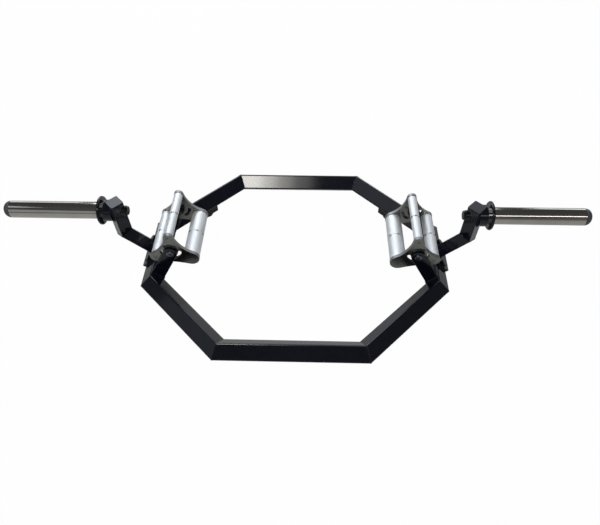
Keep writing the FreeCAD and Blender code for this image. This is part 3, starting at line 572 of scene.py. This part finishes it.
class Workshop:
    """Keeps the materials and adds pieces to the scene."""

    FINISHES = {
        Slot.PAINT: GlossPaint("gloss_black_coat", (0.0052, 0.0062, 0.0122), 0.1),
        Slot.PLATE: BrushedPlate("brushed_dark_plate", (0.23, 0.23, 0.215), 0.19, 1.0),
        Slot.CHROME: TurnedMetal("polished_hard_chrome", (0.49, 0.465, 0.425), 0.09, 1.0, depth=0.0008 * MM),
        Slot.DARK: PlatedFastener("blackened_fastener", (0.03, 0.03, 0.033), 0.2, 0.8,
                                  bare=(0.14, 0.14, 0.145)),
        Slot.ZINC: PlatedFastener("zinc_plated_fastener", (0.5, 0.51, 0.53), 0.3, 1.0,
                                  bare=(0.62, 0.62, 0.63)),
        Slot.BRONZE: TurnedMetal("sintered_bronze", (0.5, 0.32, 0.14), 0.38, 1.0, axis=(0.0, 1.0, 0.0),
                                 depth=0.008 * MM),
        Slot.RUBBER: MouldedBlack("foot_rubber", (0.02, 0.02, 0.021), 0.7, dust=0.1),
        Slot.PLASTIC: MouldedBlack("end_cap_plastic", (0.07, 0.074, 0.084), 0.5, grain=2600.0,
                                   depth=0.02 * MM),
    }
    # The pivot bolts' pale colour on their rubbed edges is a painted glint over a little real wear
    PIVOT_BOLT = PlatedFastener("polished_black_bolt", (0.14, 0.14, 0.15), 0.14, 1.0, bare=(0.6, 0.6, 0.63))

    def __init__(self) -> None:
        """Makes the shared effects and the shared materials."""
        self.effects = Effects()
        self.materials = {slot: finish.material(self.effects) for slot, finish in self.FINISHES.items()}

    def coat(self, node: str, material: Material) -> None:
        """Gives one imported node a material.

        Args:
            node: Name of the node.
            material: What it gets.
        """
        mesh = frame["nodes"][node].data
        mesh.materials.clear()
        mesh.materials.append(material)
        LOG.info("%s takes %s", node, material.name)

    def coat_by_slot(self) -> None:
        """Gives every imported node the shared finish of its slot, where there is one."""
        for row in frame["record"]["subparts"]:
            slot = Slot(row["material_slot"])
            if slot in self.materials:
                self.coat(row["node"], self.materials[slot])

    def piece(self, name: str, shape: BMesh, slot: Slot, body: str) -> None:
        """Adds a finished mesh to the scene.

        Args:
            name: Name of the piece.
            shape: Its mesh, which is used up.
            slot: The slot that it takes its finish from.
            body: The body that it moves with.
        """
        bmesh.ops.recalc_face_normals(shape, faces=shape.faces)
        mesh = bpy.data.meshes.new(name)
        shape.to_mesh(mesh)
        shape.free()
        mesh.polygons.foreach_set("use_smooth", [True] * len(mesh.polygons))
        mesh.materials.append(self.materials[slot])
        made = add_object(name, mesh)
        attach(made, body)
        LOG.info("%s rides on %s", name, body)


def skin(shape: BMesh, rows: Sequence[Sequence[BMVert]], closed: bool = False) -> None:
    """Closes rings of points into a surface.

    Args:
        shape: The mesh that holds the points.
        rows: The rings in order, with as many points in each.
        closed: Whether the last ring joins the first. If not, both end rings get a face.
    """
    pairs = list(zip(rows, rows[1:]))
    if closed:
        pairs.append((rows[-1], rows[0]))
    for first, second in pairs:
        for spoke, point in enumerate(first):
            after = (spoke + 1) % len(first)
            shape.faces.new((point, first[after], second[after], second[spoke]))
    if not closed:
        shape.faces.new(rows[0])
        shape.faces.new(rows[-1])


@dataclass(frozen=True)
class Line:
    """A path in space. In a closed one the last point joins the first."""

    points: tuple[Vector, ...]
    closed: bool = True

    @staticmethod
    def loop(corners: Sequence[Vector], rounding: float, steps: int = 6) -> Line:
        """A closed outline with rounded corners.

        Args:
            corners: Corners of the outline, in order.
            rounding: Radius at the corners.
            steps: Points on each round.

        Returns:
            The rounded outline.
        """
        points: list[Vector] = []
        count = len(corners)
        for spot, corner in enumerate(corners):
            back = (corners[spot - 1] - corner).normalized()
            ahead = (corners[(spot + 1) % count] - corner).normalized()
            half = back.angle(ahead) / 2
            reach = rounding / math.tan(half)
            centre = corner + (back + ahead).normalized() * (rounding / math.sin(half))
            start, end = corner + back * reach - centre, corner + ahead * reach - centre
            for step in range(steps + 1):
                spoke = start.slerp(end, step / steps)
                points.append(centre + spoke * rounding / spoke.length)
        return Line(tuple(points))

    def even(self, step: float) -> list[Vector]:
        """Points at even steps along the path.

        Args:
            step: Wanted distance between points.

        Returns:
            The points, with both ends where the path is open.
        """
        corners = [*self.points, self.points[0]] if self.closed else list(self.points)
        marks = [0.0]
        for first, second in zip(corners, corners[1:]):
            marks.append(marks[-1] + (second - first).length)
        count = max(8, round(marks[-1] / step))
        found: list[Vector] = []
        run = 0
        for index in range(count if self.closed else count + 1):
            target = marks[-1] * index / count
            while run < len(corners) - 2 and marks[run + 1] < target:
                run += 1
            length = marks[run + 1] - marks[run]
            share = (target - marks[run]) / length if length else 0.0
            found.append(corners[run].lerp(corners[run + 1], min(1.0, share)))
        return found

    def turned(self, turn: Matrix) -> Line:
        """The same path after a turn or a move."""
        return Line(tuple(turn @ point for point in self.points), self.closed)


@dataclass(frozen=True)
class Bead:
    """A weld bead with the ripples of its run.

    Attributes:
        pitch: Distance between ripples.
        ripple: Height of a ripple as a share of the radius.
        around: Points round the bead.
        steps: Points along each ripple.
        bow: Share of a pitch by which a ripple bends back at the bead's sides.
        hand: Share of a pitch by which the hand runs ahead or behind.
        hand_rate: How fast it does so, in radians to a point.
        swell: Share of the radius by which the bead grows and shrinks.
        swell_rate: How fast it does so, in radians to a point.
        tip: Share of the radius at an open end.
        tip_steps: Points from an open end to the full radius.
    """

    radius: float
    pitch: float = 2.6 * MM
    ripple: float = 0.13
    around: int = 10
    steps: int = 5
    bow: float = 0.3
    hand: float = 0.25
    hand_rate: float = 0.11
    swell: float = 0.05
    swell_rate: float = 0.173
    tip: float = 0.35
    tip_steps: int = 12

    def add(self, shape: BMesh, line: Line, inside: Vector) -> None:
        """Sweeps the bead along a path.

        Args:
            shape: The mesh that it is added to.
            line: The path.
            inside: A point that the bead's back is turned to.
        """
        points = line.even(self.pitch / self.steps)
        count = len(points)
        rows = []
        for index, point in enumerate(points):
            ahead = points[(index + 1) % count] if line.closed else points[min(index + 1, count - 1)]
            behind = points[index - 1] if line.closed else points[max(index - 1, 0)]
            along = (ahead - behind).normalized()
            out = point - inside
            out = (out - along * out.dot(along)).normalized()
            across = along.cross(out)
            from_end = min(index, count - 1 - index) / self.tip_steps
            taper = 1.0 if line.closed else min(1.0, self.tip + (1.0 - self.tip) * from_end)
            hand = self.hand * math.sin(index * self.hand_rate)
            breadth = 1.0 + self.swell * math.sin(index * self.swell_rate)
            row = []
            for spoke in range(self.around):
                angle = math.tau * spoke / self.around
                phase = index / self.steps + self.bow * math.cos(2 * angle) + hand
                size = self.radius * (breadth - self.ripple * (phase % 1.0)) * taper
                row.append(shape.verts.new(point + (out * math.cos(angle) + across * math.sin(angle)) * size))
            rows.append(row)
        skin(shape, rows, line.closed)


@dataclass(frozen=True)
class RingFrame:
    """The eight mitred tubes of the ring, with the welds at their corners and under them."""

    half_depth: float = 347 * MM
    side_half: float = 118 * MM
    tube_round: float = 4.5 * MM
    saddle_length: float = 70 * MM
    saddle_width: float = 36 * MM
    saddle_margin: float = 4 * MM
    bead: Bead = Bead(2.6 * MM)
    sink: float = 1.7 * MM
    saddle_bead: Bead = Bead(2.2 * MM)

    @property
    def corner_cut(self) -> float:
        """Length of a corner that a diagonal tube takes off, along either axis."""
        return self.half_depth - self.side_half

    def corners(self) -> dict[str, tuple[float, float, float]]:
        """The ring's corners by name: X, Y and the way that the mitre faces outwards, in degrees."""
        near = RING_HALF_WIDTH - self.corner_cut
        found = {}
        for side, across, end, along in QUARTERS:
            steep = 90 - MITRE_ANGLE * across
            shallow = 90 - (90 - MITRE_ANGLE) * across
            found[f"{end}_tube_{side}_weld"] = (across * near, along * self.half_depth, along * steep)
            found[f"{side}_side_{end}_weld"] = (across * RING_HALF_WIDTH, along * self.side_half,
                                                along * shallow)
        return found

    def mitre(self, place: tuple[float, float, float]) -> tuple[Line, Vector]:
        """The line of a mitre round the tube, a little under its skin.

        Args:
            place: X and Y of the corner, and the way that the mitre faces.

        Returns:
            The line and its middle.
        """
        x, y, way = place
        middle = Vector((x, y, RING_HEIGHT))
        out = Vector((math.cos(math.radians(way)), math.sin(math.radians(way)), 0.0))
        reach = RING_TUBE * ROOT_HALF - self.sink / ROOT_HALF
        wide = reach / math.cos(math.radians(MITRE_ANGLE))
        up = Vector((0.0, 0.0, reach))
        return Line.loop([middle + up, middle + out * wide, middle - up, middle - out * wide],
                         self.tube_round - self.sink), middle

    def build(self, shop: Workshop) -> None:
        """Adds the welds of the ring and of the saddles under it.

        Args:
            shop: Where pieces are made.
        """
        for name, place in self.corners().items():
            shape = bmesh.new()
            line, middle = self.mitre(place)
            self.bead.add(shape, line, middle)
            shop.piece(name, shape, Slot.PAINT, "frame")
        low = RING_HEIGHT - RING_TUBE * ROOT_HALF + self.saddle_width / 2
        for side, across, end, along in QUARTERS:
            foot = Vector((across * (RING_HALF_WIDTH - self.corner_cut / 2),
                           along * (self.half_depth - self.corner_cut / 2), low))
            run = Vector((across, -along, 0.0)).normalized() * (self.saddle_length / 2 - self.saddle_margin)
            wide = Vector((across, along, 0.0)).normalized() * (self.saddle_width / 2)
            shape = bmesh.new()
            for edge in (wide, -wide):
                self.saddle_bead.add(shape, Line((foot + edge - run, foot + edge + run), False), foot)
            shop.piece(f"{end}_{side}_saddle_welds", shape, Slot.PAINT, "frame")


@dataclass(frozen=True)
class SleeveArm:
    """One arm from a side tube to its sleeve, with the welds that join its pieces."""

    side: Side
    foot: float = RING_TUBE / 2 + 8 * MM
    offset: float = 12 * MM
    reach: float = 86.5 * MM
    tube: float = 38 * MM
    tube_round: float = 2.5 * MM
    cap_seam: float = 221 * MM
    sleeve_rise: float = 191.3 * MM
    boss_radius: float = 31.5 * MM
    boss_lap: float = 18 * MM
    boss_steps: int = 14
    fillet: Bead = Bead(3.2 * MM)
    butt: Bead = Bead(2.2 * MM)
    seam: Bead = Bead(1.3 * MM, pitch=1.8 * MM)
    sink: float = 1.4 * MM

    def on_upright(self, rise: float) -> Vector:
        """The point of the upright's axis at a height above the side tube's axis."""
        return Vector((RING_HALF_WIDTH + self.reach, 0.0, RING_HEIGHT + rise))

    def on_strut(self, along: float) -> Vector:
        """The point of the strut's axis at a distance from the side tube's axis."""
        return Vector((RING_HALF_WIDTH + (along - self.offset) * ROOT_HALF, 0.0,
                       RING_HEIGHT + (along + self.offset) * ROOT_HALF))

    def square(self, middle: Vector, across: Vector, sink: float = 0.0) -> Line:
        """The outline of the arm's tube on a plane that cuts it.

        Args:
            middle: Where the tube's axis meets the plane.
            across: Half its diagonal on that plane, in the arm's own upright plane.
            sink: How far under the skin the line runs.

        Returns:
            The rounded outline.
        """
        edge = Vector((0.0, self.tube * ROOT_HALF - sink / ROOT_HALF, 0.0))
        wide = across.normalized() * (across.length - sink / ROOT_HALF)
        return Line.loop([middle + edge, middle + wide, middle - edge, middle - wide], self.tube_round)

    def boss_line(self) -> Line:
        """The line where the round boss meets the faces of the upright."""
        middle = self.on_upright(self.sleeve_rise)
        corner = self.tube * ROOT_HALF
        upper = []
        for step in range(-self.boss_steps, self.boss_steps + 1):
            y = self.boss_lap * step / self.boss_steps
            rise = math.sqrt(self.boss_radius ** 2 - y * y)
            upper.append(Vector((corner - max(abs(y), self.tube_round / 2), y, rise)))
        lower = [Vector((point.x, point.y, -point.z)) for point in reversed(upper)]
        return Line(tuple(middle + point for point in upper + lower))

    def build(self, shop: Workshop) -> None:
        """Adds the welds of the arm.

        Args:
            shop: Where pieces are made.
        """
        diagonal = self.tube * ROOT_HALF
        bend = self.on_strut(self.reach / ROOT_HALF + self.offset)
        slope = Vector((-ROOT_HALF, 0.0, ROOT_HALF)) * diagonal
        tilt = math.radians(MITRE_ANGLE)
        mitre = Vector((math.cos(tilt), 0.0, -math.sin(tilt))) * (diagonal / math.cos(tilt))
        top = self.on_upright(self.cap_seam)
        foot = self.on_strut(self.foot)
        welds = (
            ("arm_foot_weld", self.fillet, self.square(foot, slope), foot),
            ("arm_bend_weld", self.butt, self.square(bend, mitre, self.sink), bend),
            ("arm_cap_weld", self.seam, self.square(top, Vector((diagonal, 0.0, 0.0)), self.sink / 2), top),
            ("boss_weld", self.fillet, self.boss_line(), self.on_upright(self.sleeve_rise)),
        )
        for label, bead, line, middle in welds:
            shape = bmesh.new()
            bead.add(shape, line.turned(self.side.turn), self.side.turn @ middle)
            shop.piece(f"{self.side.value}_{label}", shape, Slot.PAINT, "frame")


@dataclass(frozen=True)
class HandleMount:
    """The two lugs of one side, with the welds at their feet.

    Attributes:
        base: Width of a lug's foot on the side tube.
        base_offset: How far the middle of the foot lies down the tube's face.
        inner: Distance of a lug from the middle of the bar.
    """

    side: Side
    base: float = 42 * MM
    base_offset: float = 0.5 * MM
    inner: float = 95.75 * MM
    thickness: float = 6 * MM
    foot_round: float = 1.5 * MM
    fillet: Bead = Bead(2.8 * MM)

    def foot(self, along: int) -> list[Vector]:
        """The corners of a lug's foot on the upper inner face of the right side tube.

        Args:
            along: One for the lug towards +Y, minus one for the other.

        Returns:
            The four corners, in order.
        """
        slope = Vector((ROOT_HALF, 0.0, ROOT_HALF))
        face = Vector((-ROOT_HALF, 0.0, ROOT_HALF)) * (RING_TUBE / 2)
        middle = Vector((RING_HALF_WIDTH, 0.0, RING_HEIGHT)) + face - slope * self.base_offset
        low, high = middle - slope * (self.base / 2), middle + slope * (self.base / 2)
        near = Vector((0.0, along * self.inner, 0.0))
        far = Vector((0.0, along * (self.inner + self.thickness), 0.0))
        return [low + near, high + near, high + far, low + far]

    def build(self, shop: Workshop) -> None:
        """Adds the welds of the lugs.

        Args:
            shop: Where pieces are made.
        """
        for end, way in (("front", -1), ("rear", 1)):
            corners = self.foot(-way if self.side is Side.LEFT else way)
            middle = sum(corners, Vector()) / len(corners)
            line = Line.loop(corners, self.foot_round).turned(self.side.turn)
            shape = bmesh.new()
            self.fillet.add(shape, line, self.side.turn @ middle)
            shop.piece(f"{self.side.value}_{end}_lug_weld", shape, Slot.PAINT, "frame")


@dataclass(frozen=True)
class HandleCage:
    """The turning cage of one side: knurled grips, each with set screws in its middle groove.

    Attributes:
        first_screw: Angle of the first set screw of each grip, in degrees.
        spokes: Points round a set screw.
        pivot: A point on the right cage's axis.
    """

    side: Side
    first_screw: dict[Grip, float]
    screw_radius: float = 3.4 * MM
    screw_proud: float = 0.12 * MM
    screw_depth: float = 1.6 * MM
    screw_bevel: float = 0.3 * MM
    socket_radius: float = 2.4 * MM
    socket_depth: float = 1.5 * MM
    socket_bevel: float = 0.15 * MM
    screws: int = 6
    spokes: int = 24
    colour: Colour = (0.86, 0.88, 0.9)
    roughness: float = 0.52
    metallic: float = 0.7
    pivot: Point = (RING_HALF_WIDTH - 74 * MM, 0.0, RING_HEIGHT + 118 * MM)

    def build(self, shop: Workshop) -> None:
        """Dresses the plates and the grips and adds the grips' set screws.

        Args:
            shop: Where pieces are made.
        """
        body = f"{self.side.value}_handle_body"
        shared = shop.FINISHES[Slot.PLATE]
        pivot = tuple(self.side.turn @ Vector(self.pivot))
        finish = replace(shared, name=f"{self.side.value}_{shared.name}", pivot=pivot)
        material = finish.material(shop.effects)
        for end in ("front", "rear"):
            shop.coat(f"{self.side.value}_handle_{end}_plate", material)
        for grip in Grip:
            node = f"{self.side.value}_{grip.value}"
            low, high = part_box(node)
            centre, radius = (low + high) / 2, (high.x - low.x) / 2
            knurled = KnurledGrip(f"knurled_{node}", self.colour, self.roughness, self.metallic,
                                  tuple(centre), radius)
            shop.coat(node, knurled.material(shop.effects))
            shape = bmesh.new()
            for index in range(self.screws):
                angle = math.radians(self.first_screw[grip] + 360 / self.screws * index)
                self.set_screw(shape, centre, radius, angle)
            shop.piece(f"{node}_set_screws", shape, Slot.DARK, body)

    def set_screw(self, shape: BMesh, centre: Vector, radius: float, angle: float) -> None:
        """Adds one set screw with a hexagon socket.

        Args:
            shape: The mesh that it is added to.
            centre: Middle of the grip.
            radius: Radius of the grip.
            angle: Where it sits round the grip.
        """
        out = Vector((math.cos(angle), 0.0, math.sin(angle)))
        along = Vector((0.0, 1.0, 0.0))
        across = out.cross(along)
        base = centre + out * radius
        sixth = math.pi / 3
        rings = (
            (self.screw_radius, -self.screw_depth, False),
            (self.screw_radius, self.screw_proud - self.screw_bevel, False),
            (self.screw_radius - self.screw_bevel, self.screw_proud, False),
            (self.socket_radius + self.socket_bevel, self.screw_proud, False),
            (self.socket_radius, self.screw_proud - self.socket_bevel, True),
            (self.socket_radius, self.screw_proud - self.socket_depth, True),
        )
        rows = []
        for size, lift, six in rings:
            row = []
            for spoke in range(self.spokes):
                turn = math.tau * spoke / self.spokes
                flat = math.cos(sixth / 2) / math.cos(turn % sixth - sixth / 2) if six else 1.0
                way = along * math.cos(turn) + across * math.sin(turn)
                row.append(shape.verts.new(base + out * lift + way * size * flat))
            rows.append(row)
        skin(shape, rows)


@dataclass(frozen=True)
class Lamp:
    """A flat studio lamp that faces the point it aims at, with its power in watts."""

    name: str
    place: Point
    aim: Point
    size: tuple[float, float]
    power: float
    colour: Colour = (1.0, 1.0, 1.0)

    def build(self) -> None:
        """Adds the lamp to the scene."""
        data = bpy.data.lights.new(self.name, "AREA")
        data.shape = "RECTANGLE"
        data.size, data.size_y = self.size
        data.energy = self.power
        data.color = self.colour
        lamp = add_object(self.name, data)
        lamp.location = self.place
        lamp.rotation_mode = "QUATERNION"
        lamp.rotation_quaternion = (Vector(self.aim) - Vector(self.place)).to_track_quat("-Z", "Y")


# Colours of the lamps
COOL = (0.9, 0.95, 1.0)
BLUE = (0.84, 0.92, 1.0)
WARM = (1.0, 0.97, 0.9)


@dataclass(frozen=True)
class Studio:
    """Pale floor, plain lamps, dim room and the camera.

    Attributes:
        seen_white: Share of white that the camera sees in the floor.
        mirrored_white: Share of white that metal and glass show of it.
        zenith_from: Height in the room, as a share, where the colour overhead is reached.
        front_level: Strength of the room at the front, where it is one at the rear.
        front_full: Depth in the room, as a share, where that strength is reached.
        front_end: Depth in the room, as a share, where it has faded to one.
    """

    floor_half: float = 60.0
    floor_drop: float = 0.4 * MM
    floor_colour: Colour = (0.48, 0.48, 0.48)
    seen_white: float = 0.985
    mirrored_white: float = 0.2
    horizon: Colour = (0.13, 0.125, 0.12)
    zenith: Colour = (0.075, 0.075, 0.078)
    zenith_from: float = 0.6
    front_level: float = 1.3
    front_full: float = -0.8
    front_end: float = 0.2
    camera_place: Point = (53.23 * MM, -1088.96 * MM, 1320.81 * MM)
    pitch: float = 50.13
    yaw: float = -2.03
    roll: float = 0.64
    lens: float = 31.53
    sensor: float = 36.0
    lamps: tuple[Lamp, ...] = (
        Lamp("rear_softbox", (-0.08, 1.9, 1.35), (-0.08, 0.0, 0.15), (2.84, 1.8), 21.0, COOL),
        Lamp("rear_left_softbox", (-0.72, 1.92, 1.36), (-0.72, 0.02, 0.16), (1.56, 1.8), 11.0, BLUE),
        Lamp("rear_far_softbox", (-0.95, 1.94, 1.37), (-0.95, 0.04, 0.17), (1.1, 1.8), 8.5, BLUE),
        Lamp("rear_low_left", (-1.95, 1.9, 0.75), (-0.35, 0.0, 0.15), (0.9, 0.9), 3.2, COOL),
        Lamp("rear_low_right", (1.95, 1.9, 0.75), (0.35, 0.0, 0.15), (0.9, 0.9), 4.0, COOL),
        Lamp("top_softbox", (0.12, 0.7, 2.7), (0.12, 0.65, 0.0), (2.1, 1.8), 16.0, (0.97, 0.985, 1.0)),
        Lamp("left_window", (-2.3, -1.6, 1.05), (0.3, 0.1, 0.1), (2.6, 1.1), 3.0, (0.8, 0.93, 1.0)),
        Lamp("left_upper_window", (-2.3, -0.44, 2.15), (0.33, 0.24, 0.06), (1.0, 0.8), 1.8, (0.86, 0.94, 1.0)),
        Lamp("front_key", (-0.505, -1.3, 1.9), (-0.235, 0.3, 0.05), (0.27, 0.5), 4.4, WARM),
        Lamp("front_key_middle", (-0.445, -1.31, 1.91), (-0.175, 0.29, 0.06), (0.39, 0.5), 5.0, WARM),
        Lamp("front_key_wide", (-0.38, -1.32, 1.92), (-0.11, 0.28, 0.07), (0.52, 0.5), 3.8, (1.0, 0.98, 0.92)),
        Lamp("front_fill", (-0.3, -1.33, 1.93), (-0.03, 0.27, 0.08), (0.68, 0.5), 2.8, (1.0, 0.98, 0.94)),
        Lamp("right_strip", (1.5, -1.43, 1.67), (0.69, 0.0, 0.24), (1.1, 0.21), 3.0, (1.0, 0.97, 1.0)),
    )

    def build(self) -> None:
        """Adds floor, room, lamps and camera."""
        self.make_floor()
        self.make_room()
        for lamp in self.lamps:
            lamp.build()
            LOG.info("lamp %s", lamp.name)
        self.make_camera()

    def make_floor(self) -> None:
        """A pale floor that is near white to the camera, dimmer in mirrors, and keeps a faint shadow."""
        shape = bmesh.new()
        half = self.floor_half
        corners = ((-half, -half), (half, -half), (half, half), (-half, half))
        shape.faces.new([shape.verts.new((x, y, -self.floor_drop)) for x, y in corners])
        mesh = bpy.data.meshes.new("floor")
        shape.to_mesh(mesh)
        shape.free()
        material = bpy.data.materials.new("pale_floor")
        tree = Tree.of(material)
        path = tree.node("ShaderNodeLightPath").outputs
        seen = tree.times(path["Is Camera Ray"], self.seen_white)
        glossy = tree.calc("MAXIMUM", path["Is Glossy Ray"], path["Is Transmission Ray"])
        mirrored = tree.times(glossy, self.mirrored_white)
        matt = tree.node("ShaderNodeBsdfDiffuse", {"Color": self.floor_colour})
        white = tree.node("ShaderNodeEmission", {"Color": (1.0, 1.0, 1.0), "Strength": 1.0})
        mixed = tree.node("ShaderNodeMixShader", {0: tree.calc("MAXIMUM", seen, mirrored), 1: matt.outputs[0],
                                                  2: white.outputs[0]})
        tree.node("ShaderNodeOutputMaterial", {"Surface": mixed.outputs[0]})
        mesh.materials.append(material)
        add_object("floor", mesh)

    def make_room(self) -> None:
        """A dim room, lighter towards the front and a little warmer towards the horizon."""
        world = bpy.data.worlds.new("room")
        tree = Tree.of(world)
        way = tree.node("ShaderNodeSeparateXYZ", {0: tree.node("ShaderNodeTexCoord").outputs["Generated"]})
        shade = tree.blend(tree.ease(way.outputs["Z"], 0.0, self.zenith_from), self.horizon, self.zenith)
        level = tree.ease(way.outputs["Y"], self.front_full, self.front_end, self.front_level, 1.0)
        room = tree.node("ShaderNodeBackground", {"Color": shade, "Strength": level})
        tree.node("ShaderNodeOutputWorld", {"Surface": room.outputs[0]})
        bpy.context.scene.world = world

    def make_camera(self) -> None:
        """The camera at the photograph's viewpoint."""
        pitch, yaw, roll = (math.radians(angle) for angle in (self.pitch, self.yaw, self.roll))
        ahead = Vector((math.sin(yaw) * math.cos(pitch), math.cos(yaw) * math.cos(pitch), -math.sin(pitch)))
        level = Vector((math.cos(yaw), -math.sin(yaw), 0.0))
        plumb = ahead.cross(level)
        right = level * math.cos(roll) + plumb * math.sin(roll)
        down = plumb * math.cos(roll) - level * math.sin(roll)
        data = bpy.data.cameras.new("camera")
        data.lens = self.lens
        data.sensor_width = self.sensor
        camera = add_object("camera", data)
        turn = Matrix((right, -down, -ahead)).transposed().to_4x4()
        camera.matrix_world = Matrix.Translation(Vector(self.camera_place)) @ turn
        bpy.context.scene.camera = camera


# Angle of the first set screw of each grip, from +X towards +Z, in degrees
SCREW_ANGLES = {
    Side.LEFT: {Grip.THIN: 95.0, Grip.MEDIUM: 105.0, Grip.FAT: 71.0},
    Side.RIGHT: {Grip.THIN: 89.0, Grip.MEDIUM: 93.0, Grip.FAT: 138.0},
}


def main() -> None:
    """Builds the studio, the finishes and every added piece."""
    logging.basicConfig(level=logging.INFO, format="%(message)s")
    bpy.context.scene.view_settings.view_transform = "Standard"
    Studio().build()
    shop = Workshop()
    shop.coat_by_slot()
    shop.coat("pivot_bolts", shop.PIVOT_BOLT.material(shop.effects))
    RingFrame().build(shop)
    for side in Side:
        SleeveArm(side).build(shop)
        HandleMount(side).build(shop)
        HandleCage(side, SCREW_ANGLES[side]).build(shop)


if __name__ == "__main__":
    main()
